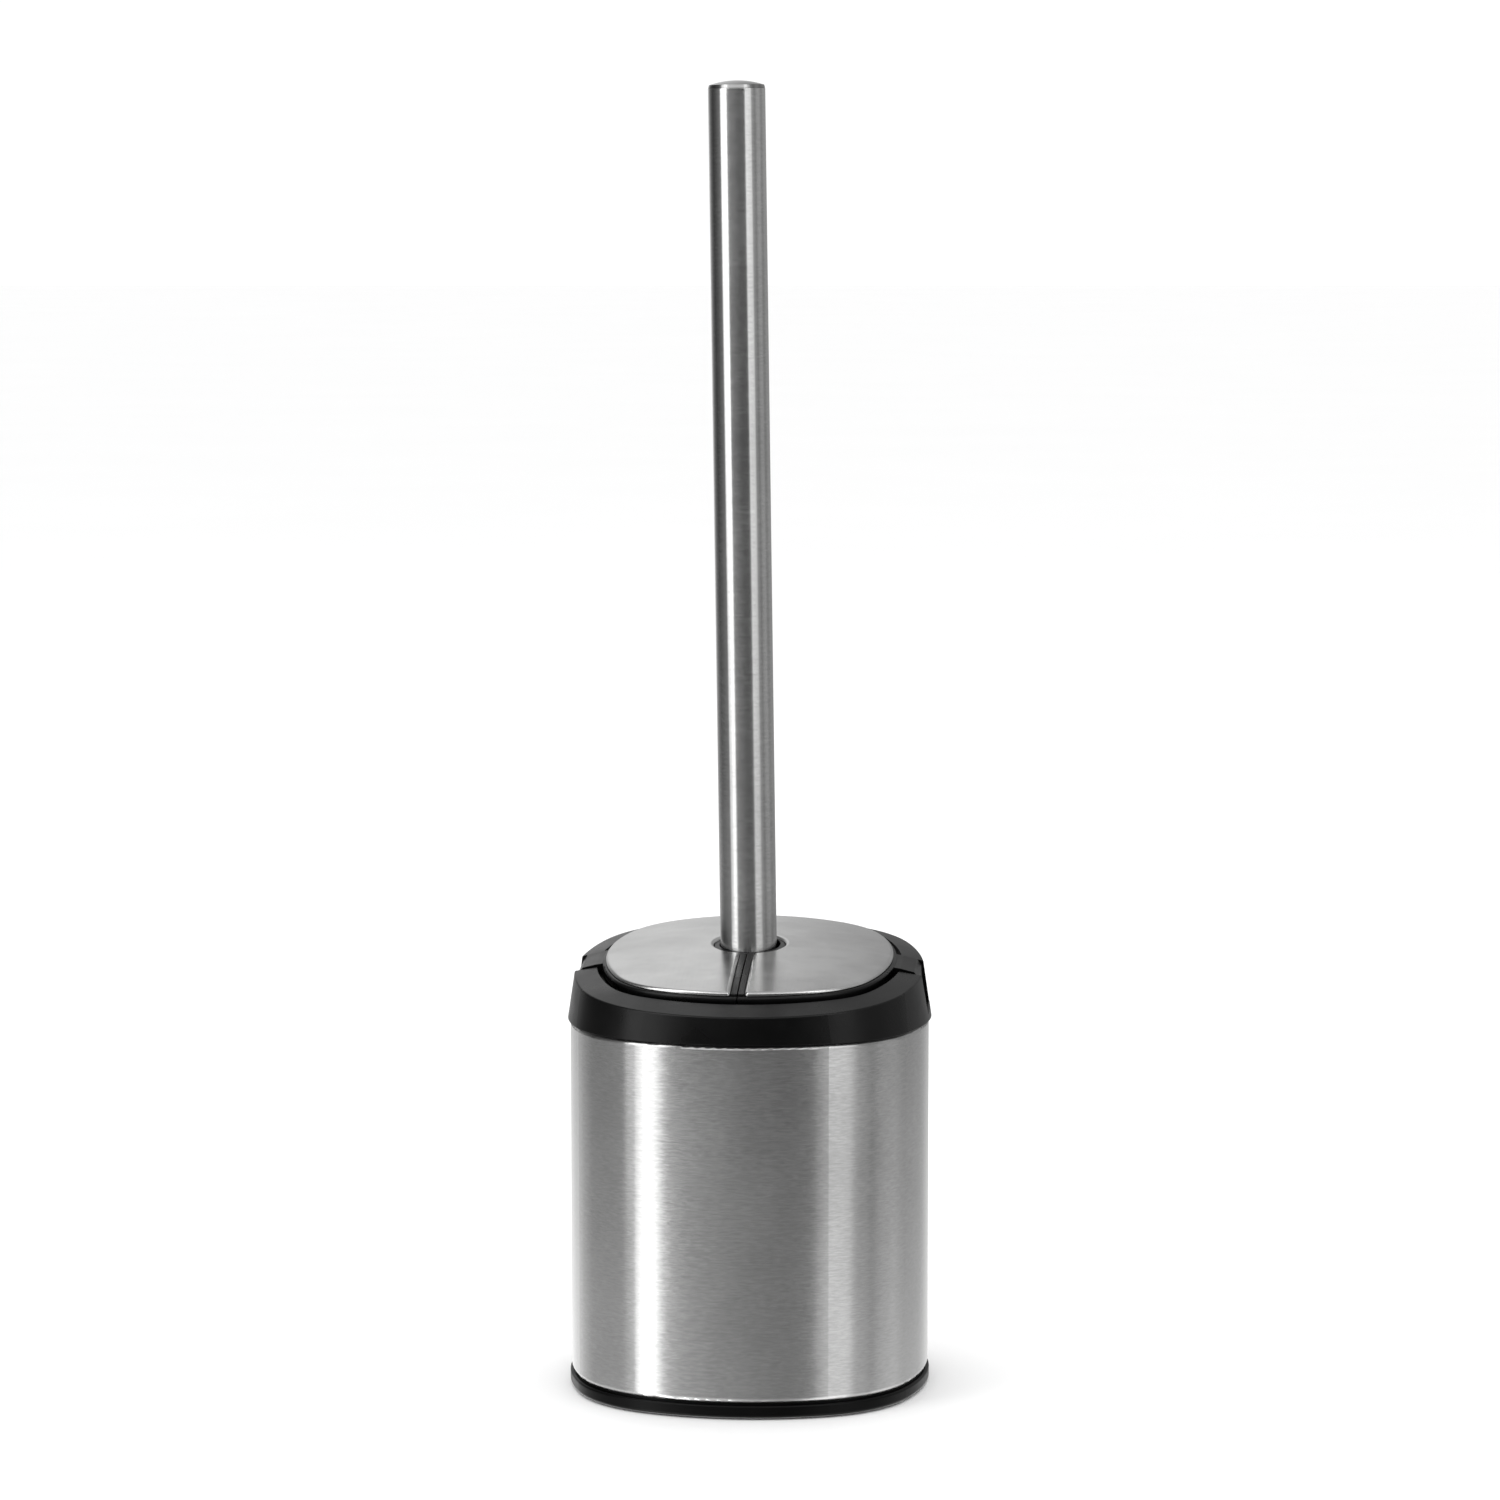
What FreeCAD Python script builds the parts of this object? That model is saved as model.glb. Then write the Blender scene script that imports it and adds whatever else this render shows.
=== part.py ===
"""Free-standing toilet brush holder with a two-wing lid, and the brush that stands in it. Millimetres, +Z up.

The origin is on the floor under the centre of the holder. The front faces -Y.
The holder is a squircle in plan: four shallow side arcs joined by four corner arcs.
"""
import FreeCAD
import Part
import math
import os

# --- driving dimensions of the holder ---
side_bulge = 1.40            # side arc radius over half width
corner_radius = 42.0
sleeve_half = 60.2           # half width of the steel sleeve
sleeve_wall = 0.6
sleeve_bottom = 5.2
sleeve_top = 124.2
sleeve_hem = 2.0             # radius of the turned-in bottom hem
sleeve_lip = 1.4             # radius of the rolled top lip
turned_in = 0.75             # how far both ends of the sleeve curl inwards
base_half = 60.7
base_bottom = 0.5
base_skirt_top = 4.8
skirt_low_round = 1.2
skirt_high_round = 0.8
plug_half = 59.0             # rim of the foot that plugs into the sleeve
plug_corner = 40.8
plug_wall = 2.0
plug_top = 15.0
pan_floor = 4.2
rib_top = 8.4                # ribs of the foot that carry the bucket
rib_start = 14.0
rib_end = 52.0
rib_half = 0.8
rib_angle = 45
hub_radius = 14.5
hub_wall = 2.0
pad_radius = 6.0
pad_place = 38.0
pad_top = 2.0
pad_round = 0.35
pad_play = 0.1               # between a pad and its pocket
ring_bottom = 124.5
ring_foot_half = 61.1        # the collar's wall is drafted: wide at its foot
ring_head_half = 58.4        # and narrower where it meets its crown
ring_plane_z = 142.5         # height of the collar's top plane on the vertical axis
lid_tilt = 6.9               # the top plane leans down towards the front
ring_crown_drop = 1.4        # the crown falls this much from its mouth to its outer edge
crown_edge = 0.6             # rounding between crown and wall
mouth_half = 51.3            # recess that the lid drops into
mouth_corner = 27.0
throat_half = 45.5           # opening that the brush head passes through
throat_corner = 22.0
ledge_top = -2.3             # below the top plane
ledge_bottom = -5.0
throat_wall = 2.4            # wall round the throat
ring_wall = 3.2              # outer wall of the collar
boss_half = 18.0             # half width of the solid bosses round the hinge pins
boss_inner_x = 40.0
boss_foot = 2.0              # height of the bosses above the collar's foot
spigot_half = 59.3           # wall of the collar that plugs into the sleeve
spigot_corner = 41.1
spigot_wall = 1.6
spigot_bottom = 113.0

# --- bucket inside the sleeve ---
bucket_half = 56.6
bucket_corner = 38.5
bucket_wall = 1.6
bucket_bottom = 8.6
bucket_floor_top = 11.0
bucket_top = 118.0
bucket_outer_round = 5.0
bucket_inner_round = 4.0
bucket_rim_out = 0.6
bucket_rim_height = 2.4
bucket_rim_round = 0.7
seat_radius = 12.6           # centring ring on the bucket's floor
seat_wall = 2.0
seat_top = 16.0
seat_round = 0.8
drain_half = 2.0             # half width of the gaps that let water out of the ring

# --- lid wings, in the tilted frame of the collar's top plane ---
wing_half = 49.4
wing_corner = 29.0
wing_bottom = -1.0
wing_rim_top = 1.7
wing_rim_round = 0.9
wing_wall = 2.2              # skirt of the hollow wing
wing_skin = 2.9              # depth of the wing's hollow below the lid's dome
wing_rib_x = 24.0            # cross ribs in the hollow
wing_rib_wall = 1.6
wing_rib_half = 1.0
plate_half = 48.3
plate_corner = 28.0
plate_edge_top = 3.1         # height of the steel plate at the middle of its sides
plate_crown = 3.8            # and how much higher it is at the centre
plate_bottom = 1.9
plate_thickness = 0.5
plate_roll = 1.2             # radius of the plates' rolled edges
plate_gap_half = 2.3         # half the gap between the two plates
plate_hole_radius = 12.0
tape_thickness = 0.3
tape_inset = 1.6             # how far the tape stays inside the plate's outline
fit_gap = 0.15               # between the plastic strip and the plates' edges
seam_half = 0.2              # half the gap between the two wings
handle_hole_radius = 10.25   # hole through the plastic wings
hole_relief = 1.0            # and how much longer the hole is to the back
bumper_radius = 1.4
bumper_place = 35.8          # on the diagonals, over the collar's ledge
bumper_sink = 0.9            # depth of the pocket that holds a bumper
bumper_lift = 0.3            # a bumper ends this far above the ledge
strip_drop = 0.9             # the plastic strip at the seam lies this far below the plates

# --- hinges ---
pivot_x = 54.5
pivot_w = -6.6
knuckle_radius = 4.4
tab_half_width = 8.2
notch_gap = 0.9
tab_setback = 1.1            # the tab's outer face lies this far inside the collar's wall
tail_drop = 7.3              # how far the tab's tail reaches below the pin
pin_radius = 1.5
pin_clearance = 0.05
pin_half_length = 15.5
pin_end_gap = 0.2
pin_chamfer = 0.35
notch_sweep_radius = 9.1
notch_depth = -14.9

# --- brush ---
brush_lean = 0.8             # the loose handle leans against the left side of its hole
brush_foot_x = 1.45          # where its foot stands on the bucket's floor
foot_z = 11.4
tube_radius = 9.5
tube_wall = 0.8
tube_bottom = 112.0
tube_top = 433.9
tube_top_chamfer = 0.15
tube_low_chamfer = 0.4
press_gap = 0.05             # between parts that are pressed or screwed together
cap_rim = 1.1                # height of the cap's bevelled rim
cap_bevel = 0.35
cap_rise = 1.5
cap_spigot = 12.0            # length of the cap's spigot inside the tube
cap_spigot_wall = 1.75
cap_plate = 1.5
plug_length = 22.0           # insert at the lower end of the tube
plug_chamfer = 1.0
plug_collar = 5.0
plug_collar_inset = 0.1
plug_collar_round = 0.6
tap_depth = 18.0
core_radius = 7.5
core_round = 5.0
core_top = 104.0
core_collar = 9.2
core_collar_edge = 1.0
core_collar_height = 4.0
washer_radius = 8.8
washer_round = 0.8
washer_play = 0.3            # between the washer and the stud
stud_radius = 3.0
stud_low = 16.0              # the stud reaches this far into the head
stud_high = 17.0             # and this far into the insert
stud_chamfer = 0.6
groove_count = 11
groove_pitch = 1.6
groove_radius = 0.5
groove_offset = 0.15
head_radius = 36.0
head_middle = 56.0
head_low = 18.0
head_high = 99.0
head_upper = 44.0            # half heights of the two ellipses of the brush head
head_lower = 42.0

# --- helpers for cutting ---
over = 1.0                   # how far a cutting tool reaches past the face it cuts
far = 80.0                   # reach of the blocks that cut off one side of a shape


def vec(x, y, z=0.0):
    return FreeCAD.Vector(x, y, z)


def polar(centre_x, centre_y, radius, angle, quarter, z):
    """Point on a circle at an angle in radians, turned about the origin by a number of quarter turns."""
    x = centre_x + radius * math.cos(angle)
    y = centre_y + radius * math.sin(angle)
    for _ in range(quarter):
        x, y = -y, x
    return vec(x, y, z)


def outline(half, corner, z=0.0):
    """Closed squircle wire: side arcs of radius side_bulge * half, joined by tangent corner arcs."""
    big = side_bulge * half
    shift = big - half
    centre = (-shift + math.sqrt(2 * (big - corner) ** 2 - shift ** 2)) / 2
    turn = math.atan2(centre, centre + shift)
    edges = []
    for quarter in range(4):
        side = [polar(-shift, 0, big, a, quarter, z) for a in (-turn, 0, turn)]
        bend = [polar(centre, centre, corner, a, quarter, z) for a in (turn, math.pi / 4, math.pi / 2 - turn)]
        edges.append(Part.Arc(*side).toShape())
        edges.append(Part.Arc(*bend).toShape())
    return Part.Wire(edges)


def prism(half, corner, low, high):
    return Part.Face(outline(half, corner, low)).extrude(vec(0, 0, high - low))


def block(x0, x1, y0, y1, z0, z1):
    return Part.makeBox(x1 - x0, y1 - y0, z1 - z0, vec(x0, y0, z0))


def rod(radius, low, high, x=0.0, y=0.0):
    return Part.makeCylinder(radius, high - low, vec(x, y, low))


def bar_y(radius, half_length, x, w):
    return Part.makeCylinder(radius, 2 * half_length, vec(x, -half_length, w), vec(0, 1, 0))


def edges_at(shape, z, tolerance=0.02, test=None):
    """Edges that lie wholly at one height, and that pass an optional test of their middle point."""
    found = []
    for edge in shape.Edges:
        box = edge.BoundBox
        if abs(box.ZMin - z) < tolerance and abs(box.ZMax - z) < tolerance:
            if test is None or test(edge.CenterOfMass):
                found.append(edge)
    return found


def tilted(shape):
    """Puts a shape of the lid's frame in its place: leaned towards the front, at the collar's height."""
    placed = shape.copy()
    placed.rotate(vec(0, 0, 0), vec(1, 0, 0), lid_tilt)
    placed.translate(vec(0, 0, ring_plane_z))
    return placed


def untilted(shape):
    placed = shape.copy()
    placed.translate(vec(0, 0, -ring_plane_z))
    placed.rotate(vec(0, 0, 0), vec(1, 0, 0), -lid_tilt)
    return placed


def leaned(shape):
    """Leans a shape of the brush, built on the vertical axis, about the foot of the brush."""
    placed = shape.copy()
    placed.rotate(vec(0, 0, foot_z), vec(0, 1, 0), -brush_lean)
    placed.translate(vec(brush_foot_x, 0, 0))
    return placed


def mirrored(shape):
    return shape.mirror(vec(0, 0, 0), vec(1, 0, 0))


# --- the holder ---

def pad_centres():
    return [(sx * pad_place, sy * pad_place) for sx in (-1, 1) for sy in (-1, 1)]


def base_foot():
    """Moulded foot: a visible skirt, and a rim that plugs into the sleeve."""
    skirt = prism(base_half, corner_radius, base_bottom, base_skirt_top)
    skirt = skirt.makeFillet(skirt_low_round, edges_at(skirt, base_bottom))
    skirt = skirt.makeFillet(skirt_high_round, edges_at(skirt, base_skirt_top))
    plug = prism(plug_half, plug_corner, base_skirt_top - over, plug_top)
    body = skirt.fuse(plug)
    body = body.cut(prism(plug_half - plug_wall, plug_corner - plug_wall, pan_floor, plug_top + over))
    for x, y in pad_centres():
        body = body.cut(rod(pad_radius + pad_play, 0, pad_top + pad_play, x, y))
    root = pan_floor - 0.2
    for angle in range(0, 360, rib_angle):
        rib = block(rib_start, rib_end, -rib_half, rib_half, root, rib_top)
        rib.rotate(vec(0, 0, 0), vec(0, 0, 1), angle)
        body = body.fuse(rib)
    hub = rod(hub_radius, root, rib_top).cut(rod(hub_radius - hub_wall, root - over, rib_top + over))
    return body.fuse(hub).removeSplitter()


def foot_pads():
    pads = []
    for x, y in pad_centres():
        pad = rod(pad_radius, 0, pad_top, x, y)
        pads.append(pad.makeFillet(pad_round, edges_at(pad, 0)))
    return Part.makeCompound(pads)


def outer_sleeve():
    """Thin steel sleeve with its bottom hem and top lip turned inwards."""
    outside = prism(sleeve_half, corner_radius, sleeve_bottom, sleeve_top)
    outside = outside.makeFillet(sleeve_hem, edges_at(outside, sleeve_bottom))
    outside = outside.makeFillet(sleeve_lip, edges_at(outside, sleeve_top))
    low = sleeve_bottom + sleeve_wall
    high = sleeve_top - sleeve_wall
    inside = prism(sleeve_half - sleeve_wall, corner_radius - sleeve_wall, low, high)
    inside = inside.makeFillet(sleeve_hem - sleeve_wall, edges_at(inside, low))
    inside = inside.makeFillet(sleeve_lip - sleeve_wall, edges_at(inside, high))
    hole_half = sleeve_half - turned_in
    hole_corner = corner_radius - turned_in
    floor_hole = prism(hole_half, hole_corner, sleeve_bottom - over, low + over)
    head_hole = prism(hole_half, hole_corner, high - over, sleeve_top + over)
    return outside.cut(inside).cut(floor_hole).cut(head_hole)


def inner_bucket():
    """Removable liner with a rounded floor edge, a rolled rim and a ring that centres the brush."""
    outside = prism(bucket_half, bucket_corner, bucket_bottom, bucket_top)
    outside = outside.makeFillet(bucket_outer_round, edges_at(outside, bucket_bottom))
    hollow_half = bucket_half - bucket_wall
    inside = prism(hollow_half, bucket_corner - bucket_wall, bucket_floor_top, bucket_top + over)
    inside = inside.makeFillet(bucket_inner_round, edges_at(inside, bucket_floor_top))
    rim_half = bucket_half + bucket_rim_out
    rim = prism(rim_half, bucket_corner + bucket_rim_out, bucket_top - bucket_rim_height, bucket_top)
    rim = rim.makeFillet(bucket_rim_round, edges_at(rim, bucket_top))
    root = bucket_floor_top - 0.5
    seat = rod(seat_radius + seat_wall, root, seat_top)
    seat = seat.makeFillet(seat_round, edges_at(seat, seat_top))
    seat = seat.cut(rod(seat_radius, root - over, seat_top + over))
    for angle in (0, 90):
        drain = block(-far, far, -drain_half, drain_half, bucket_floor_top, seat_top + over)
        drain.rotate(vec(0, 0, 0), vec(0, 0, 1), angle)
        seat = seat.cut(drain)
    return outside.fuse(rim).cut(inside).fuse(seat).removeSplitter()


def top_ring():
    """Collar: drafted wall, sloping crown, recess and ledge for the lid, notches and bosses at the hinges."""
    draft = (ring_foot_half - ring_head_half) / (ring_plane_z - ring_bottom)
    over_z = ring_plane_z + 14.0
    over_half = ring_foot_half - draft * (over_z - ring_bottom)
    foot_wire = outline(ring_foot_half, corner_radius, ring_bottom)
    head_wire = outline(over_half, corner_radius, over_z)
    wall = Part.makeLoft([foot_wire, head_wire], True, True)

    crown_wide = ring_head_half + 6.0
    slope = ring_crown_drop / (ring_head_half - mouth_half)
    crown_low = -slope * (crown_wide - mouth_half)
    wide_wire = outline(crown_wide, corner_radius + 2.0, crown_low)
    narrow_wire = outline(mouth_half - 8.0, mouth_corner - 6.0, slope * 8.0)
    crown = Part.makeLoft([wide_wire, narrow_wire], True, True)
    under = prism(crown_wide, corner_radius + 2.0, crown_low - 40.0, crown_low)
    body = wall.common(tilted(crown.fuse(under)))
    body = body.makeFillet(crown_edge, crown_rim(body))

    body = body.cut(tilted(prism(mouth_half, mouth_corner, ledge_top, far)))
    body = body.cut(tilted(prism(throat_half, throat_corner, -far, 0)))
    body = body.cut(ring_core())
    root = ring_bottom + 2.5
    spigot = prism(spigot_half, spigot_corner, spigot_bottom, root)
    spigot_hollow = spigot_half - spigot_wall
    spigot = spigot.cut(prism(spigot_hollow, spigot_corner - spigot_wall, spigot_bottom - over, root + over))
    body = body.fuse(spigot)
    for side in (-1, 1):
        body = body.cut(tilted(hinge_notch(side)))
        body = body.cut(tilted(bar_y(pin_radius, pin_half_length, side * pivot_x, pivot_w)))
    return body.removeSplitter()


def crown_rim(body):
    """Edges where the drafted wall meets the sloping crown."""
    rim = []
    for edge in body.Edges:
        middle = untilted(Part.Vertex(edge.CenterOfMass)).Point
        reach = max(abs(middle.x), abs(middle.y))
        if -ring_crown_drop - 2.0 < middle.z < 0 and reach > mouth_half - 14.0:
            if edge.BoundBox.ZMin > ring_bottom + 5.0:
                rim.append(edge)
    return rim


def ring_core():
    """Hollow between the collar's outer and inner walls, open below, left solid as bosses at the hinges."""
    outer_wall = ring_head_half - ring_wall
    hollow = prism(outer_wall, corner_radius - ring_wall, ring_bottom - far, ring_plane_z + far)
    inner_wall = prism(throat_half + throat_wall, throat_corner + throat_wall, -far, far)
    hollow = hollow.cut(tilted(inner_wall))
    hollow = hollow.common(tilted(block(-far, far, -far, far, -far, ledge_bottom)))
    roof = ring_bottom + boss_foot
    for low_x, high_x in ((-far, -boss_inner_x), (boss_inner_x, far)):
        hollow = hollow.cut(block(low_x, high_x, -boss_half, boss_half, roof, ring_plane_z + far))
    return hollow


def hinge_notch(side):
    """Room in the collar for one hinge tab, open at the top and outwards, and round about the pin."""
    half = tab_half_width + notch_gap
    sweep = bar_y(notch_sweep_radius, half, side * pivot_x, pivot_w)
    above = block(throat_half - 2.0, far, -half, half, pivot_w, far)
    outward = block(pivot_x, far, -half, half, notch_depth, far)
    if side < 0:
        above = mirrored(above)
        outward = mirrored(outward)
    return sweep.fuse(above).fuse(outward)


def hinge_pin(side):
    pin = bar_y(pin_radius, pin_half_length - pin_end_gap, side * pivot_x, pivot_w)
    return tilted(pin.makeChamfer(pin_chamfer, [e for e in pin.Edges if e.Closed]))


# --- the lid: every wing is built on the +X side, and mirrored for the other side ---

dome_radius = (plate_half ** 2 + plate_crown ** 2) / (2 * plate_crown)


def dome(drop):
    """Ball whose top is the lid's crown, turned so that its parametric seam lies outside the +X side."""
    ball = Part.makeSphere(dome_radius - drop, vec(0, 0, plate_edge_top + plate_crown - dome_radius))
    ball.rotate(vec(0, 0, 0), vec(0, 0, 1), 180)
    return ball


def under_dome(half, corner, inner_x, hole_radius, low, drop):
    """Half squircle from the given height up to the lid's dome, lowered by drop, without its centre hole."""
    top = plate_edge_top + plate_crown - drop
    solid = prism(half, corner, low, top + over)
    solid = solid.common(dome(drop))
    solid = solid.common(block(inner_x, far, -far, far, low, top + over))
    hole = rod(hole_radius, low - over, top + over)
    hole.rotate(vec(0, 0, 0), vec(0, 0, 1), 180)
    return solid.cut(hole)


def top_edges(solid, low):
    """Edges of the domed top: those that don't reach down to the given height."""
    return [e for e in solid.Edges if e.BoundBox.ZMin > low + 0.05]


def upright_corners(solid, inner_x):
    """Upright edges where the outline has a real corner: at the seam's ends and beside the centre hole."""
    corners = []
    for edge in solid.Edges:
        box = edge.BoundBox
        if box.ZLength > 1.0 and box.YLength < 0.01 and abs(box.Center.x - inner_x) < 0.01:
            corners.append(edge)
    return corners


def rolled(half, corner, inner_x, hole_radius, drop, roll):
    """Solid under the dome with its upright corners rounded and its top edge rolled over."""
    deep = plate_bottom - 4.0
    solid = under_dome(half, corner, inner_x, hole_radius, deep, drop)
    solid = solid.makeFillet(roll + 0.2, upright_corners(solid, inner_x))
    return solid.makeFillet(roll, top_edges(solid, deep))


def wing_plate():
    """Pressed steel plate with rolled edges all round."""
    inner = plate_thickness
    outside = rolled(plate_half, plate_corner, plate_gap_half, plate_hole_radius, 0.0, plate_roll)
    inside = rolled(plate_half - inner, plate_corner - inner, plate_gap_half + inner,
                    plate_hole_radius + inner, inner, plate_roll - inner)
    below = block(-over, far, -far, far, plate_bottom - far, plate_bottom)
    return outside.cut(below).cut(inside)


def deck_limits(margin, drop, low):
    """A half squircle that keeps a margin inside the steel plate."""
    return under_dome(plate_half - margin, plate_corner - margin, plate_gap_half + margin,
                      plate_hole_radius + margin, low, drop)


def plate_tape():
    """Adhesive foam sheet between the steel plate and its plastic wing."""
    drop = plate_thickness + tape_thickness
    sheet = deck_limits(tape_inset, plate_thickness, plate_bottom)
    return sheet.cut(deck_limits(plate_thickness, drop, plate_bottom - over))


def wing_base():
    """Plastic wing: rim, raised deck under the plate, collar at the handle, hinge tab, hollow underneath."""
    rim = prism(wing_half, wing_corner, wing_bottom, wing_rim_top)
    rim = rim.makeFillet(wing_rim_round, edges_at(rim, wing_rim_top))
    own_side = block(seam_half, far, -far, far, -far, far)
    rim = rim.common(own_side)
    deck_drop = plate_thickness + tape_thickness
    deck = deck_limits(plate_thickness + fit_gap, deck_drop, wing_bottom)
    collar = under_dome(plate_half - 1.0, plate_corner, seam_half, 1.0, wing_bottom, strip_drop)
    near_seam = block(0, plate_gap_half - fit_gap, -far, far, wing_bottom, far)
    near_hole = rod(plate_hole_radius - fit_gap, wing_bottom, far).common(own_side)
    collar = collar.common(near_seam.fuse(near_hole))
    body = rim.fuse(deck).fuse(collar)
    hollow = under_dome(wing_half - wing_wall, wing_corner - wing_wall, wing_wall,
                        handle_hole_radius + wing_wall, wing_bottom - over, wing_skin)
    hollow = hollow.cut(block(0, far, -wing_rib_half, wing_rib_half, -far, far))
    hollow = hollow.cut(block(wing_rib_x, wing_rib_x + wing_rib_wall, -far, far, -far, far))
    body = body.cut(hollow).fuse(hinge_tab())
    body = body.cut(bar_y(pin_radius + pin_clearance, pin_half_length, pivot_x, pivot_w))
    return body.removeSplitter()


def hinge_tab():
    """Tongue that runs from the wing over the collar, round the pin, and down the collar's wall."""
    outer_x = ring_head_half - tab_setback
    root_x = wing_half - 2.8
    start = vec(root_x, 0, wing_rim_top - 0.3)
    crest = vec(mouth_half, 0, 0.6)
    brow = vec(outer_x - 1.5, 0, -0.6)
    shoulder = vec(outer_x, 0, -2.5)
    tail_out = vec(outer_x + 0.9, 0, pivot_w - tail_drop)
    tail_in = vec(pivot_x + 2.0, 0, pivot_w - tail_drop)
    waist = vec(pivot_x + 1.5, 0, pivot_w - 3.0)
    under = vec(pivot_x - knuckle_radius, 0, pivot_w)
    heel = vec(root_x, 0, wing_bottom)
    points = [start, crest, brow, shoulder, tail_out, tail_in, waist, under, heel, start]
    profile = Part.Face(Part.makePolygon(points))
    tongue = profile.extrude(vec(0, 2 * tab_half_width, 0))
    tongue.translate(vec(0, -tab_half_width, 0))
    knuckle = bar_y(knuckle_radius, tab_half_width, pivot_x, pivot_w)
    knuckle = knuckle.common(block(0, outer_x, -far, far, -far, far))
    return tongue.fuse(knuckle)


def wing_bumpers():
    """Two soft dots under the wing's rim, which land on the collar's ledge."""
    dots = []
    for y in (-bumper_place, bumper_place):
        dots.append(rod(bumper_radius, ledge_top + bumper_lift, wing_bottom + bumper_sink, bumper_place, y))
    return Part.makeCompound(dots)


def bumper_pockets():
    pockets = []
    depth = wing_bottom + bumper_sink + press_gap
    for y in (-bumper_place, bumper_place):
        pockets.append(rod(bumper_radius + press_gap, wing_bottom - over, depth, bumper_place, y))
    return Part.makeCompound(pockets)


def placed_wing(build, side):
    shape = build()
    if side < 0:
        shape = mirrored(shape)
    return tilted(shape)


def handle_hole():
    """Upright hole for the handle, longer to the back, where the opening wings swing past the handle."""
    low = ring_bottom
    high = ring_plane_z + far
    return rod(handle_hole_radius, low, high).fuse(rod(handle_hole_radius, low, high, 0, hole_relief))


# --- the brush, built on the vertical axis and then leaned ---

def handle_tube():
    tube = rod(tube_radius, tube_bottom, tube_top)
    tube = tube.makeChamfer(tube_top_chamfer, edges_at(tube, tube_top))
    tube = tube.makeChamfer(tube_low_chamfer, edges_at(tube, tube_bottom))
    return tube.cut(rod(tube_radius - tube_wall, tube_bottom - over, tube_top + over))


def handle_cap():
    """End cap with a bevelled rim and a slight dome, on a spigot that is pressed into the tube."""
    crown_z = tube_top + cap_rim
    crown_radius = tube_radius - cap_bevel
    dome_ball = (crown_radius ** 2 + cap_rise ** 2) / (2 * cap_rise)
    rim = Part.makeCone(tube_radius - press_gap, crown_radius, cap_rim, vec(0, 0, tube_top))
    head = rod(crown_radius, crown_z, crown_z + cap_rise + over)
    head = head.common(Part.makeSphere(dome_ball, vec(0, 0, crown_z + cap_rise - dome_ball)))
    spigot_radius = tube_radius - tube_wall - press_gap
    spigot_low = tube_top - cap_spigot
    spigot = rod(spigot_radius, spigot_low, tube_top)
    spigot = spigot.cut(rod(spigot_radius - cap_spigot_wall, spigot_low - over, tube_top - cap_plate))
    return rim.fuse(head).fuse(spigot).removeSplitter()


def handle_plug():
    """Tapped insert at the lower end of the tube, which the brush head screws into."""
    high = tube_bottom + plug_length
    low = tube_bottom - plug_collar
    shank = rod(tube_radius - tube_wall - press_gap, tube_bottom, high)
    shank = shank.makeChamfer(plug_chamfer, edges_at(shank, high))
    collar = rod(tube_radius - plug_collar_inset, low, tube_bottom)
    collar = collar.makeFillet(plug_collar_round, edges_at(collar, low))
    bore = rod(stud_radius + press_gap, low - over, tube_bottom + tap_depth)
    return shank.fuse(collar).cut(bore).removeSplitter()


def head_stud():
    """Stud that joins head and handle, with shallow grooves for its thread."""
    low = core_top - stud_low
    high = tube_bottom + stud_high
    stud = rod(stud_radius, low, high)
    stud = stud.makeChamfer(stud_chamfer, edges_at(stud, high) + edges_at(stud, low))
    for step in range(groove_count):
        groove_z = tube_bottom - 2.0 + groove_pitch * step
        groove = Part.makeTorus(stud_radius + groove_offset, groove_radius, vec(0, 0, groove_z))
        stud = stud.cut(groove)
    return stud


def head_washer():
    """Rubber washer clamped between the head and the handle."""
    high = tube_bottom - plug_collar
    washer = rod(washer_radius, core_top, high)
    washer = washer.makeFillet(washer_round, edges_at(washer, core_top) + edges_at(washer, high))
    return washer.cut(rod(stud_radius + washer_play, core_top - over, high + over))


def brush_core():
    """Moulded core that holds the tufts, with a round foot and a collar under the handle."""
    edge_low = core_top - core_collar_edge
    stem = rod(core_radius, foot_z, edge_low)
    stem = stem.makeFillet(core_round, edges_at(stem, foot_z))
    cone_low = edge_low - core_collar_height
    collar = Part.makeCone(core_radius, core_collar, core_collar_height, vec(0, 0, cone_low))
    collar = collar.fuse(rod(core_collar, edge_low, core_top))
    bore = rod(stud_radius + press_gap, core_top - stud_low - over, core_top + over)
    return stem.fuse(collar).cut(bore).removeSplitter()


def bristles():
    """Soft envelope of the tufts: two half ellipses about the head's middle, cut flat at both ends."""
    def half_ellipse(height):
        shape = Part.makeSphere(head_radius, vec(0, 0, 0))
        scale = FreeCAD.Matrix()
        scale.scale(1, 1, height / head_radius)
        return shape.transformGeometry(scale)

    solids = []
    upper = (head_upper, 0.0, head_high - head_middle)
    lower = (head_lower, head_low - head_middle, 0.0)
    for height, low, high in (upper, lower):
        half = half_ellipse(height).common(block(-far, far, -far, far, low, high))
        half.translate(vec(0, 0, head_middle))
        solids.append(half)
    body = solids[0].fuse(solids[1])
    return body.cut(rod(core_radius + press_gap, 0, head_high + over))


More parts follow.
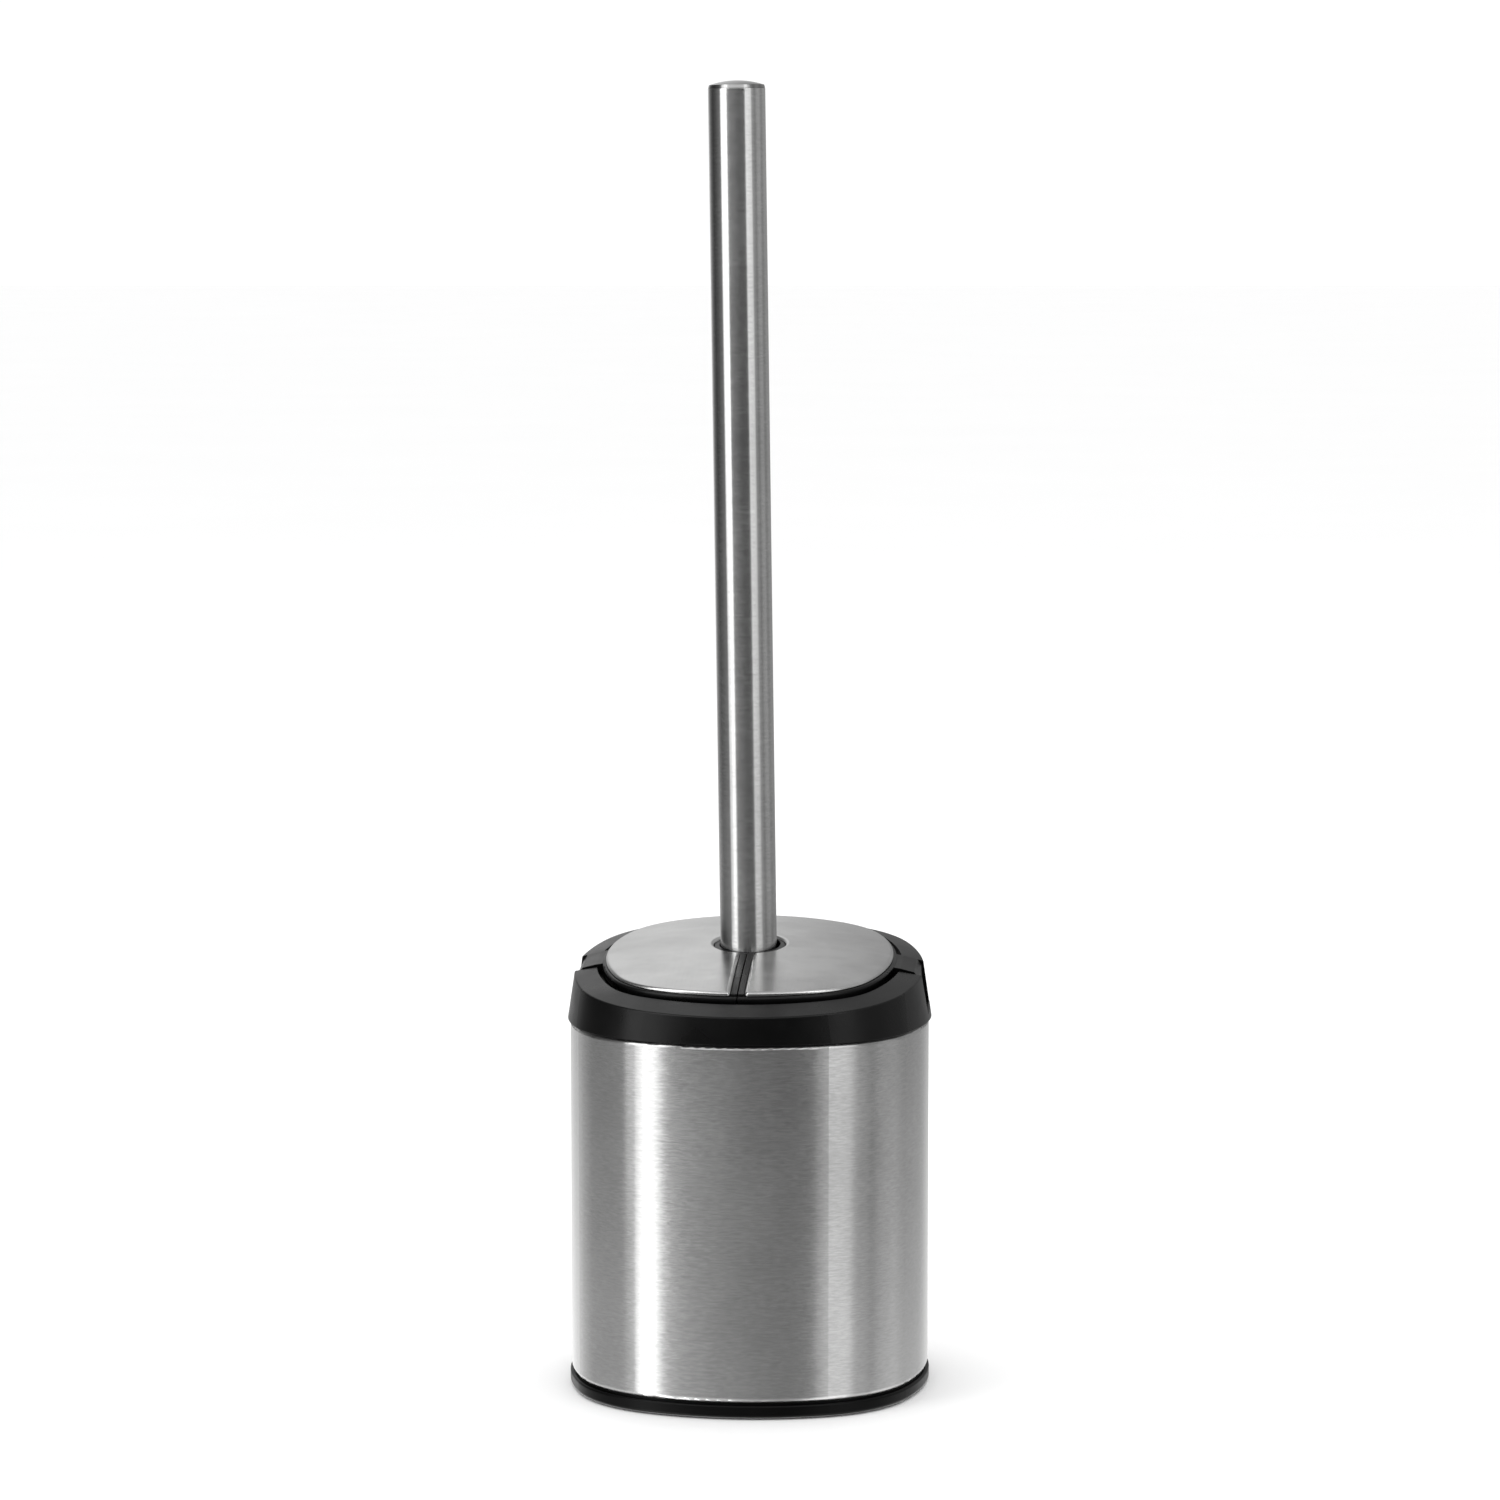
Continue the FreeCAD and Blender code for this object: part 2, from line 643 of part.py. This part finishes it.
def main():
    os.makedirs("parts", exist_ok=True)
    shapes = {
        "base_foot": base_foot(),
        "foot_pads": foot_pads(),
        "outer_sleeve": outer_sleeve(),
        "inner_bucket": inner_bucket(),
        "top_ring": top_ring(),
    }
    for name, side in (("left", -1), ("right", 1)):
        shapes[name + "_hinge_pin"] = hinge_pin(side)
        wing = placed_wing(lambda: wing_base().cut(bumper_pockets()), side).cut(handle_hole())
        shapes[name + "_wing_base"] = wing
        shapes[name + "_wing_plate"] = placed_wing(wing_plate, side)
        shapes[name + "_plate_tape"] = placed_wing(plate_tape, side)
        shapes[name + "_wing_bumpers"] = placed_wing(wing_bumpers, side)
    for build in (handle_tube, handle_cap, handle_plug, head_stud, head_washer, brush_core, bristles):
        shapes[build.__name__] = leaned(build())
    for name, shape in shapes.items():
        shape.exportStep("parts/" + name + ".step")
        print(name, "solids", len(shape.Solids), "volume", round(shape.Volume), "valid", shape.isValid())


main()
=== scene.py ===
"""Looks for the toilet brush holder: materials for every CAD piece, real tufts on the brush head,
a plain studio, and a camera that stands in front and a little above. Metres, +Z up, front towards -Y."""
import bpy
import math
import random
from mathutils import Matrix, Vector


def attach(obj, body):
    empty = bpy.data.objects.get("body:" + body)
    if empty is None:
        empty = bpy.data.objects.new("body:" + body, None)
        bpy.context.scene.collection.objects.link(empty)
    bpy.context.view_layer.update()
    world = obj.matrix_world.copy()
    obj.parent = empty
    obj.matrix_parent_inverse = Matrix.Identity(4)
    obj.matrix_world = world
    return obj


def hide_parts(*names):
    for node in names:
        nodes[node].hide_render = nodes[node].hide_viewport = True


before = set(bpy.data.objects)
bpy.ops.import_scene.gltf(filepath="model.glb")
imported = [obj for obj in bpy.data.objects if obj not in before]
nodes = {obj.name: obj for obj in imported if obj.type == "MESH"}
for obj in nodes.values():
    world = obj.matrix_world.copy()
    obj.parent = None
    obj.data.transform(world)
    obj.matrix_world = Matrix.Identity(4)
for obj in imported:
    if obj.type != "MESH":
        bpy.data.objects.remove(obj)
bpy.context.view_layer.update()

# --- camera ---
CAMERA_DISTANCE = 1.64
CAMERA_HEIGHT = 0.4019
CAMERA_AZIMUTH = math.radians(5.0)
CAMERA_PITCH = math.radians(6.53)
CAMERA_LENS = 118.3
SENSOR_WIDTH = 36.0
CLIP_END = 20.0

# --- material values: noise scales are cycles per metre, lengths are metres ---
CAP_CROWN = 0.43495              # height where the painted highlight on the handle cap's rim ends and the painted shade on its crown begins
CAP_BLEND = 0.0001
# lit and shaded greys of one steel: a painted highlight on the cap's rim, a painted shade on its crown
CAP_RIM_HIGHLIGHT_GREY = 0.27
CAP_CROWN_SHADE_GREY = 0.16
GRAIN_ALONG = 380                # brushed grain: cycles along its length, for the fine lines
GRAIN_ALONG_COARSE = 130
SMUDGE_SCALE = 26.0
SHADE_LOW = 0.38                 # part of the mixed noise that the tint is spread over
SHADE_HIGH = 0.62
BRUSHED_DEPTH = 0.00001
GRAIN_ACROSS_PLATE = 5200        # the plates' grain runs from front to back
GRAIN_ALONG_PLATE = 60
SMEAR_SCALE = 38.0
PLASTIC_GRAIN = 2000.0
PLASTIC_PATCH = 60.0
PLASTIC_DEPTH = 0.00008
PATCH_DARK = 0.8
PATCH_LIGHT = 1.25
RUBBER_GRAIN = 900.0
RUBBER_DEPTH = 0.00015
PIN_RINGS = (300, 2500, 300)
PIN_DEPTH = 0.00003
STRAND_GRAIN = 700.0
STRAND_DEPTH = 0.0001
STEEL_EDGE = 0.0002              # radius that the shading rounds edges with
PLASTIC_EDGE = 0.00035

# --- bristles ---
LEAN = math.radians(0.8)         # the brush leans about its foot, as in the CAD model
FOOT = Vector((0.00145, 0.0, 0.0114))
HEAD_RADIUS = 0.0357
HEAD_MIDDLE = 0.056
HEAD_UP = 0.0437
HEAD_DOWN = 0.0417
HEAD_LOW = 0.0185
HEAD_HIGH = 0.0985
CORE_RADIUS = 0.0075
TUFT_RINGS = 17
TUFTS_PER_RING = 13
RING_LOWEST = 0.0240
RING_HIGHEST = 0.0925
END_RISE = 0.55                  # slope of the tufts at the head's two ends
ROOT_SINK = 0.0006
STRANDS = 22
STRAND_RADIUS = 0.00021
STRAND_TIP = 0.75
STRAND_STEPS = 4
STRAND_SPREAD = 0.085
HOLE_RADIUS = 0.0011
TRIM_SHORTEST = 0.955            # strands end between this share of their reach and all of it
CRIMP = 0.00035
CRIMP_WAVE = 9.0
CRIMP_FLATNESS = 0.6
LONGEST_REACH = 0.08
TRIM_HALVINGS = 18


# --- materials ---

class Shader:
    """A Principled material with short calls for its nodes."""

    def __init__(self, name, color, metallic, roughness):
        self.material = bpy.data.materials.new(name)
        self.material.use_nodes = True
        self.tree = self.material.node_tree
        self.surface = self.tree.nodes["Principled BSDF"]
        self.surface.inputs["Base Color"].default_value = (*color, 1.0)
        self.surface.inputs["Metallic"].default_value = metallic
        self.surface.inputs["Roughness"].default_value = roughness
        self.place = self.tree.nodes.new("ShaderNodeTexCoord").outputs["Object"]

    def add(self, kind, **values):
        node = self.tree.nodes.new(kind)
        for key, value in values.items():
            if hasattr(node, key):
                setattr(node, key, value)
            else:
                node.inputs[key.replace("_", " ")].default_value = value
        return node

    def link(self, source, target):
        self.tree.links.new(source, target)

    def noise(self, scale, stretch=(1, 1, 1), detail=4.0, rough=0.55):
        """Noise in object space. scale is in cycles per metre, stretch multiplies it per axis."""
        mapping = self.add("ShaderNodeMapping")
        mapping.inputs["Scale"].default_value = stretch
        self.link(self.place, mapping.inputs["Vector"])
        node = self.add("ShaderNodeTexNoise", Scale=scale, Detail=detail, Roughness=rough)
        self.link(mapping.outputs["Vector"], node.inputs["Vector"])
        return node.outputs["Fac"]

    def ramp(self, source, low, high, to_low=0.0, to_high=1.0):
        node = self.add("ShaderNodeMapRange")
        self.link(source, node.inputs["Value"])
        limits = (("From Min", low), ("From Max", high), ("To Min", to_low), ("To Max", to_high))
        for key, value in limits:
            node.inputs[key].default_value = value
        return node.outputs["Result"]

    def math(self, operation, first, second):
        node = self.add("ShaderNodeMath", operation=operation)
        for socket, value in zip(node.inputs, (first, second)):
            if isinstance(value, (int, float)):
                socket.default_value = value
            else:
                self.link(value, socket)
        return node.outputs["Value"]

    def tint(self, factor, dark, light):
        node = self.add("ShaderNodeMix", data_type="RGBA")
        self.link(factor, node.inputs["Factor"])
        colour = [s for s in node.outputs if s.type == "RGBA"][0]
        for name, value in (("A", dark), ("B", light)):
            socket = [s for s in node.inputs if s.type == "RGBA" and s.name == name][0]
            socket.default_value = (*value, 1.0)
        self.link(colour, self.surface.inputs["Base Color"])

    def bump(self, height, strength, distance, edge=0.0):
        """Bump on the surface, with edges rounded in the shading by the given radius."""
        node = self.add("ShaderNodeBump", Strength=strength, Distance=distance)
        self.link(height, node.inputs["Height"])
        if edge:
            bevel = self.add("ShaderNodeBevel", samples=4, Radius=edge)
            self.link(bevel.outputs["Normal"], node.inputs["Normal"])
        self.link(node.outputs["Normal"], self.surface.inputs["Normal"])


def grey(value):
    return (value, value, value * 0.995)


def brushed_steel(name, dark, light, roughness, anisotropy, lines, bump, edge=STEEL_EDGE):
    """Steel brushed round the vertical axis: fine lines, broken along their length, and smudges."""
    shader = Shader(name, grey(light), 1.0, roughness)
    fine = shader.noise(1.0, (GRAIN_ALONG, GRAIN_ALONG, lines), detail=3.0)
    coarse = shader.noise(1.0, (GRAIN_ALONG_COARSE, GRAIN_ALONG_COARSE, lines * 0.5), detail=2.0)
    smudge = shader.noise(SMUDGE_SCALE, (1, 1, 0.8), detail=5.0, rough=0.6)
    grain = shader.math("ADD", shader.math("MULTIPLY", fine, 0.75),
                        shader.math("MULTIPLY", coarse, 0.25))
    shade = shader.math("ADD", shader.math("MULTIPLY", grain, 0.55),
                        shader.math("MULTIPLY", smudge, 0.45))
    shader.tint(shader.ramp(shade, SHADE_LOW, SHADE_HIGH), grey(dark), grey(light))
    rough = shader.math("ADD", shader.ramp(fine, 0.3, 0.7, -0.015, 0.015),
                        shader.ramp(smudge, 0.3, 0.75, -0.02, 0.03))
    shader.link(shader.math("ADD", rough, roughness), shader.surface.inputs["Roughness"])
    shader.surface.inputs["Anisotropic"].default_value = anisotropy
    shader.surface.inputs["Anisotropic Rotation"].default_value = 0.25
    tangent = shader.add("ShaderNodeTangent", direction_type="RADIAL", axis="Z")
    shader.link(tangent.outputs["Tangent"], shader.surface.inputs["Tangent"])
    shader.bump(grain, bump, BRUSHED_DEPTH, edge)
    return shader.material


def cap_steel(name):
    """The handle's end cap: its rim painted bright as a highlight, under a crown painted dark as shade."""
    shader = Shader(name, grey(0.4), 1.0, 0.16)
    axes = shader.add("ShaderNodeSeparateXYZ")
    shader.link(shader.place, axes.inputs["Vector"])
    grain = shader.noise(1800.0, detail=2.0)
    edge = shader.math("ADD", axes.outputs["Z"], shader.ramp(grain, 0.0, 1.0, -0.00005, 0.00005))
    # painted highlight on the rim below the crown height, painted shade on the crown above it
    shader.tint(shader.ramp(edge, CAP_CROWN - CAP_BLEND, CAP_CROWN + CAP_BLEND),
                grey(CAP_RIM_HIGHLIGHT_GREY), grey(CAP_CROWN_SHADE_GREY))
    shader.bump(grain, 0.05, 0.00002)
    return shader.material


def satin_plate(name):
    """The lid's plates: nearly polished, with a very fine grain from front to back and soft smears."""
    shader = Shader(name, grey(0.62), 1.0, 0.2)
    grain = shader.noise(1.0, (GRAIN_ACROSS_PLATE, GRAIN_ALONG_PLATE, GRAIN_ALONG_PLATE), detail=2.0)
    smear = shader.noise(SMEAR_SCALE, (1.0, 1.5, 1.0), detail=4.0)
    shade = shader.math("ADD", shader.math("MULTIPLY", grain, 0.15),
                        shader.math("MULTIPLY", smear, 0.85))
    shader.tint(shader.ramp(shade, SHADE_LOW, SHADE_HIGH), grey(0.49), grey(0.61))
    shader.link(shader.ramp(smear, 0.35, 0.65, 0.19, 0.25), shader.surface.inputs["Roughness"])
    shader.surface.inputs["Anisotropic"].default_value = 0.3
    shader.bump(grain, 0.03, BRUSHED_DEPTH, STEEL_EDGE)
    return shader.material


def moulded_plastic(name, color, roughness, strength=0.22, level=0.25):
    """Matt moulded plastic: fine spark-eroded grain, and slight patches of polish."""
    shader = Shader(name, color, 0.0, roughness)
    grain = shader.noise(PLASTIC_GRAIN, detail=2.0)
    patch = shader.noise(PLASTIC_PATCH, detail=3.0)
    shader.tint(shader.ramp(patch, 0.3, 0.7),
                tuple(c * PATCH_DARK for c in color), tuple(c * PATCH_LIGHT for c in color))
    shader.link(shader.ramp(patch, 0.3, 0.7, roughness - 0.06, roughness + 0.07),
                shader.surface.inputs["Roughness"])
    shader.surface.inputs["Specular IOR Level"].default_value = level
    shader.bump(grain, strength, PLASTIC_DEPTH, PLASTIC_EDGE)
    return shader.material


def soft_rubber(name, value, roughness):
    shader = Shader(name, grey(value), 0.0, roughness)
    grain = shader.noise(RUBBER_GRAIN, detail=3.0)
    shader.tint(shader.ramp(grain, 0.3, 0.7), grey(value * 0.75), grey(value * 1.3))
    shader.bump(grain, 0.2, RUBBER_DEPTH)
    return shader.material


def bright_pin(name):
    shader = Shader(name, grey(0.6), 1.0, 0.25)
    rings = shader.noise(1.0, PIN_RINGS, detail=2.0)
    shader.tint(shader.ramp(rings, 0.3, 0.7), grey(0.48), grey(0.66))
    shader.bump(rings, 0.1, PIN_DEPTH)
    return shader.material


def nylon(name):
    """Dark strands, slightly uneven in tone."""
    shader = Shader(name, grey(0.035), 0.0, 0.42)
    strand = shader.noise(STRAND_GRAIN, detail=2.0)
    shader.tint(shader.ramp(strand, 0.3, 0.7), grey(0.018), grey(0.06))
    shader.surface.inputs["Sheen Weight"].default_value = 0.15
    shader.bump(strand, 0.1, STRAND_DEPTH)
    return shader.material


def cover(names, material):
    for name in names:
        slots = nodes[name].data.materials
        slots.clear()
        slots.append(material)


def paint():
    black = moulded_plastic("black_plastic", grey(0.0012), 0.29)
    cover(["top_ring", "left_wing_base", "right_wing_base"], black)
    # the foot's plastic is a darker copy of the ring's black: painted shade for the dark near the floor,
    # with lower specular as well
    cover(["base_foot"], moulded_plastic("foot_plastic_shaded", grey(0.0008), 0.36, level=0.14))
    cover(["outer_sleeve"], brushed_steel("sleeve_steel", dark=0.505, light=0.615, roughness=0.22,
                                          anisotropy=0.96, lines=2100, bump=0.015, edge=0.0))
    cover(["handle_tube"], brushed_steel("handle_steel", dark=0.50, light=0.62, roughness=0.21,
                                         anisotropy=0.95, lines=2300, bump=0.04))
    cover(["handle_cap"], cap_steel("cap_steel"))
    cover(["left_wing_plate", "right_wing_plate"], satin_plate("plate_steel"))
    cover(["inner_bucket"], moulded_plastic("bucket_plastic", grey(0.05), 0.38, strength=0.05))
    cover(["brush_core", "handle_plug"], moulded_plastic("core_plastic", grey(0.03), 0.4, strength=0.05))
    cover(["left_hinge_pin", "right_hinge_pin", "head_stud"], bright_pin("pin_steel"))
    rubber = soft_rubber("pad_rubber", 0.05, 0.75)
    cover(["foot_pads", "left_wing_bumpers", "right_wing_bumpers", "head_washer"], rubber)
    cover(["left_plate_tape", "right_plate_tape"], soft_rubber("foam_tape", 0.12, 0.9))


# --- brush head ---

def trimmed_radius(z):
    """Radius of the trimmed head at a height on the brush's own axis."""
    reach = HEAD_UP if z > HEAD_MIDDLE else HEAD_DOWN
    return HEAD_RADIUS * math.sqrt(max(0.0, 1.0 - ((z - HEAD_MIDDLE) / reach) ** 2))


def strand(vertices, faces, path, radius):
    """A thin three-sided tube along a path, closed at its tip."""
    first = len(vertices)
    for i, point in enumerate(path):
        ahead = path[min(i + 1, len(path) - 1)] - path[max(i - 1, 0)]
        side = ahead.cross(Vector((0, 0, 1)))
        side = side.normalized() if side.length > 1e-9 else Vector((1, 0, 0))
        up = side.cross(ahead).normalized()
        thick = radius * (STRAND_TIP if i == len(path) - 1 else 1.0)
        for corner in range(3):
            angle = corner * 2 * math.pi / 3
            vertices.append(point + side * (thick * math.cos(angle)) + up * (thick * math.sin(angle)))
    for i in range(len(path) - 1):
        for corner in range(3):
            a = first + 3 * i + corner
            b = first + 3 * i + (corner + 1) % 3
            faces.append((a, b, b + 3, a + 3))
    last = first + 3 * (len(path) - 1)
    faces.append((last, last + 1, last + 2))
    faces.append((first + 2, first + 1, first))


def tuft(vertices, faces, rng, root, direction):
    """A bundle of strands from one hole in the core, fanning out and cut to the head's shape."""
    side = direction.cross(Vector((0, 0, 1))).normalized()
    up = side.cross(direction)
    for _ in range(STRANDS):
        turn = rng.uniform(0, 2 * math.pi)
        out = math.sqrt(rng.random())
        fan_side = math.cos(turn) * out
        fan_up = math.sin(turn) * out
        start = root + side * (HOLE_RADIUS * fan_side) + up * (HOLE_RADIUS * fan_up)
        way = direction + side * (STRAND_SPREAD * fan_side) + up * (STRAND_SPREAD * fan_up)
        way = way.normalized()
        reach = reach_to_trim(start, way) * rng.uniform(TRIM_SHORTEST, 1.0)
        wave = rng.uniform(0, 2 * math.pi)
        path = []
        for step in range(STRAND_STEPS + 1):
            t = step / STRAND_STEPS
            crimp = CRIMP * math.sin(wave + t * CRIMP_WAVE) * t
            path.append(start + way * (reach * t) + side * crimp + up * (crimp * CRIMP_FLATNESS))
        strand(vertices, faces, path, STRAND_RADIUS)


def reach_to_trim(start, way):
    """How far a strand goes before it meets the trimmed shape."""
    low, high = 0.0, LONGEST_REACH
    for _ in range(TRIM_HALVINGS):
        middle = (low + high) / 2
        point = start + way * middle
        inside = (math.hypot(point.x, point.y) < trimmed_radius(point.z)
                  and HEAD_LOW < point.z < HEAD_HIGH)
        low, high = (middle, high) if inside else (low, middle)
    return low


def brush_head():
    """Rings of tufts set in the core, standing out radially, and leaning out at both ends."""
    rng = random.Random(7)
    vertices, faces = [], []
    for ring in range(TUFT_RINGS):
        z = RING_LOWEST + (RING_HIGHEST - RING_LOWEST) * ring / (TUFT_RINGS - 1)
        tip = (z - HEAD_MIDDLE) / (HEAD_UP if z > HEAD_MIDDLE else HEAD_DOWN)
        rise = END_RISE * tip * abs(tip)
        for k in range(TUFTS_PER_RING):
            angle = (k + 0.5 * (ring % 2)) * 2 * math.pi / TUFTS_PER_RING
            outward = Vector((math.cos(angle), math.sin(angle), 0))
            root = outward * (CORE_RADIUS - ROOT_SINK) + Vector((0, 0, z))
            direction = (outward + Vector((0, 0, rise))).normalized()
            tuft(vertices, faces, rng, root, direction)
    turn = Matrix.Rotation(-LEAN, 4, "Y")
    lean = Matrix.Translation(FOOT) @ turn @ Matrix.Translation((0, 0, -FOOT.z))
    mesh = bpy.data.meshes.new("bristle_tufts")
    mesh.from_pydata([lean @ v for v in vertices], [], faces)
    mesh.update()
    piece = bpy.data.objects.new("bristle_tufts", mesh)
    bpy.context.scene.collection.objects.link(piece)
    mesh.materials.append(nylon("bristle_nylon"))
    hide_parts("bristles")
    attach(piece, "brush")


# --- studio ---
# Brightness of the tent that the metal reflects, by azimuth in degrees: 0 is in front, 90 is to
# the right. The low row is what the sleeve reflects, and the high row is what the handle and the
# lid reflect.
TENT_LOW = ((-180, 0.75), (-172, 0.95), (-160, 0.90), (-140, 0.68), (-125, 0.50), (-110, 0.36),
            (-85, 0.35), (-70, 0.35), (-56, 0.42), (-53, 1.70), (-43, 1.60), (-39, 0.42),
            (-25, 0.34), (-10, 0.26), (5, 0.21), (20, 0.18), (32, 0.21), (36, 0.60), (58, 0.61),
            (63, 0.37), (75, 0.36), (82, 0.28), (90, 0.38), (112, 0.50), (130, 0.40),
            (150, 0.44), (165, 0.65), (180, 0.75))
TENT_HIGH = ((-180, 0.50), (-172, 0.82), (-155, 0.80), (-140, 0.40), (-125, 0.16), (-108, 0.06),
             (-90, 0.12), (-72, 0.24), (-66, 0.40), (-63, 2.4), (-39, 2.4), (-36, 0.34),
             (-20, 0.22), (0, 0.13), (12, 0.09), (30, 0.10), (36, 0.16), (39, 1.30), (62, 1.20),
             (67, 0.50), (82, 0.30), (92, 0.46), (104, 0.50), (118, 0.33), (135, 0.43),
             (160, 0.41), (172, 0.34), (180, 0.50))
FLOOR_HALF = 30.0
WORLD_GLOW = 1.05
TENT_RADIUS = 1.1
TENT_STEPS = 96
TENT_BLEND = 0.12                     # height over which the low row passes into the high row
ROOF_GLOW = 0.8
TENT_LOW_END = -0.9
TENT_HIGH_END = 2.2
FRONT_BOX_TURN = math.radians(52)     # a softbox above the camera, which edges and rolled lips catch
FRONT_BOX_LOW = 0.9
FRONT_BOX_HIGH = 1.7
FRONT_BOX_GLOW = 1.6


def stage_material(name, value, roughness):
    shader = Shader(name, (value, value, value), 0.0, roughness)
    cloud = shader.noise(3.0, detail=2.0)
    shader.tint(shader.ramp(cloud, 0.2, 0.8), (value * 0.985,) * 3, (value,) * 3)
    shader.surface.inputs["Specular IOR Level"].default_value = 0.1
    return shader.material


def floor():
    """A wide pale floor, which ends far behind the object in the white of the room."""
    half = FLOOR_HALF
    corners = [(-half, -half, 0), (half, -half, 0), (half, half, 0), (-half, half, 0)]
    mesh = bpy.data.meshes.new("studio_floor")
    mesh.from_pydata(corners, [], [(0, 1, 2, 3)])
    plane = bpy.data.objects.new("studio_floor", mesh)
    bpy.context.scene.collection.objects.link(plane)
    mesh.materials.append(stage_material("studio_white", 0.95, 0.8))
    plane.visible_glossy = False


def tent_stops(shader, azimuth, stops):
    """Piecewise linear brightness over azimuth."""
    ramp = shader.add("ShaderNodeValToRGB")
    shader.link(azimuth, ramp.inputs["Fac"])
    elements = ramp.color_ramp.elements
    peak = max(value for _, value in stops)
    while len(elements) < len(stops):
        elements.new(0.5)
    for element, (angle, value) in zip(elements, stops):
        element.position = (angle + 180) / 360
        element.color = (value / peak, value / peak, value / peak, 1)
    return shader.math("MULTIPLY", ramp.outputs["Color"], peak)


def tent():
    """Drum of softboxes and dark cards round the object. Only reflections see it."""
    steps = TENT_STEPS
    vertices, faces = [], []
    for z in (TENT_LOW_END, TENT_HIGH_END):
        for i in range(steps):
            angle = 2 * math.pi * i / steps
            vertices.append((TENT_RADIUS * math.cos(angle), TENT_RADIUS * math.sin(angle), z))
    for i in range(steps):
        j = (i + 1) % steps
        faces.append((i, j, steps + j, steps + i))
    faces.append(tuple(range(steps)))
    faces.append(tuple(range(steps, 2 * steps)))
    mesh = bpy.data.meshes.new("studio_tent")
    mesh.from_pydata(vertices, [], faces)
    drum = bpy.data.objects.new("studio_tent", mesh)
    bpy.context.scene.collection.objects.link(drum)

    shader = Shader("studio_tent", (0, 0, 0), 0.0, 1.0)
    axes = shader.add("ShaderNodeSeparateXYZ")
    shader.link(shader.place, axes.inputs["Vector"])
    turn = shader.math("ARCTAN2", axes.outputs["X"], shader.math("MULTIPLY", axes.outputs["Y"], -1.0))
    azimuth = shader.ramp(turn, -math.pi, math.pi)
    low = tent_stops(shader, azimuth, TENT_LOW)
    high = tent_stops(shader, azimuth, TENT_HIGH)
    low = shader.math("MULTIPLY", low, shader.ramp(axes.outputs["Z"], -0.7, 0.1, 3.2, 0.36))
    rise = shader.ramp(axes.outputs["Z"], 0.0, TENT_BLEND)
    wall = shader.math("ADD",
                       shader.math("MULTIPLY", low, shader.math("SUBTRACT", 1.0, rise)),
                       shader.math("MULTIPLY", high, rise))
    wall = shader.math("MULTIPLY", wall, shader.ramp(axes.outputs["Z"], 0.25, 1.1, 0.92, 1.25))
    in_front = shader.math("MULTIPLY", shader.math("LESS_THAN", turn, FRONT_BOX_TURN),
                           shader.math("GREATER_THAN", turn, -FRONT_BOX_TURN))
    at_height = shader.math("MULTIPLY", shader.math("GREATER_THAN", axes.outputs["Z"], FRONT_BOX_LOW),
                            shader.math("LESS_THAN", axes.outputs["Z"], FRONT_BOX_HIGH))
    front_box = shader.math("MULTIPLY", shader.math("MULTIPLY", in_front, at_height), FRONT_BOX_GLOW)
    roof = shader.ramp(axes.outputs["Z"], TENT_HIGH_END - 0.02, TENT_HIGH_END - 0.01)
    glow = shader.math("ADD", shader.math("MULTIPLY", wall, shader.math("SUBTRACT", 1.0, roof)),
                       shader.math("MULTIPLY", ROOF_GLOW, roof))
    glow = shader.math("ADD", glow, front_box)
    emission = shader.add("ShaderNodeEmission")
    shader.link(glow, emission.inputs["Strength"])
    output = [n for n in shader.tree.nodes if n.type == "OUTPUT_MATERIAL"][0]
    shader.link(emission.outputs["Emission"], output.inputs["Surface"])
    mesh.materials.append(shader.material)
    for way in ("camera", "diffuse", "transmission", "volume_scatter", "shadow"):
        setattr(drum, "visible_" + way, False)


def softbox(name, azimuth, distance, height, size, power, aim):
    """Area light for the matt surfaces, at an azimuth seen from above, aimed at a height on the object."""
    data = bpy.data.lights.new(name, "AREA")
    data.shape = "RECTANGLE"
    data.size, data.size_y = size
    data.energy = power
    light = bpy.data.objects.new(name, data)
    turn = math.radians(azimuth)
    light.location = (distance * math.sin(turn), -distance * math.cos(turn), height)
    way = Vector((0, 0, aim)) - light.location
    light.rotation_euler = way.to_track_quat("-Z", "Y").to_euler()
    light.visible_glossy = False
    light.visible_camera = False
    bpy.context.scene.collection.objects.link(light)


def studio():
    floor()
    tent()
    softbox("key_left", azimuth=-50, distance=1.5, height=1.2, size=(0.6, 1.2), power=6, aim=0.15)
    softbox("top", azimuth=180, distance=0.3, height=2.0, size=(1.6, 1.6), power=12, aim=0.0)
    world = bpy.data.worlds.new("studio")
    world.use_nodes = True
    world.node_tree.nodes["Background"].inputs["Color"].default_value = (1, 1, 1, 1)
    world.node_tree.nodes["Background"].inputs["Strength"].default_value = WORLD_GLOW
    bpy.context.scene.world = world


def camera():
    data = bpy.data.cameras.new("camera")
    data.lens = CAMERA_LENS
    data.sensor_width = SENSOR_WIDTH
    data.clip_end = CLIP_END
    seen = bpy.data.objects.new("camera", data)
    seen.location = (CAMERA_DISTANCE * math.sin(CAMERA_AZIMUTH),
                     -CAMERA_DISTANCE * math.cos(CAMERA_AZIMUTH), CAMERA_HEIGHT)
    seen.rotation_euler = (math.pi / 2 - CAMERA_PITCH, 0, CAMERA_AZIMUTH)
    bpy.context.scene.collection.objects.link(seen)
    bpy.context.scene.camera = seen


camera()
paint()
brush_head()
studio()
bpy.context.scene.view_settings.view_transform = "Standard"
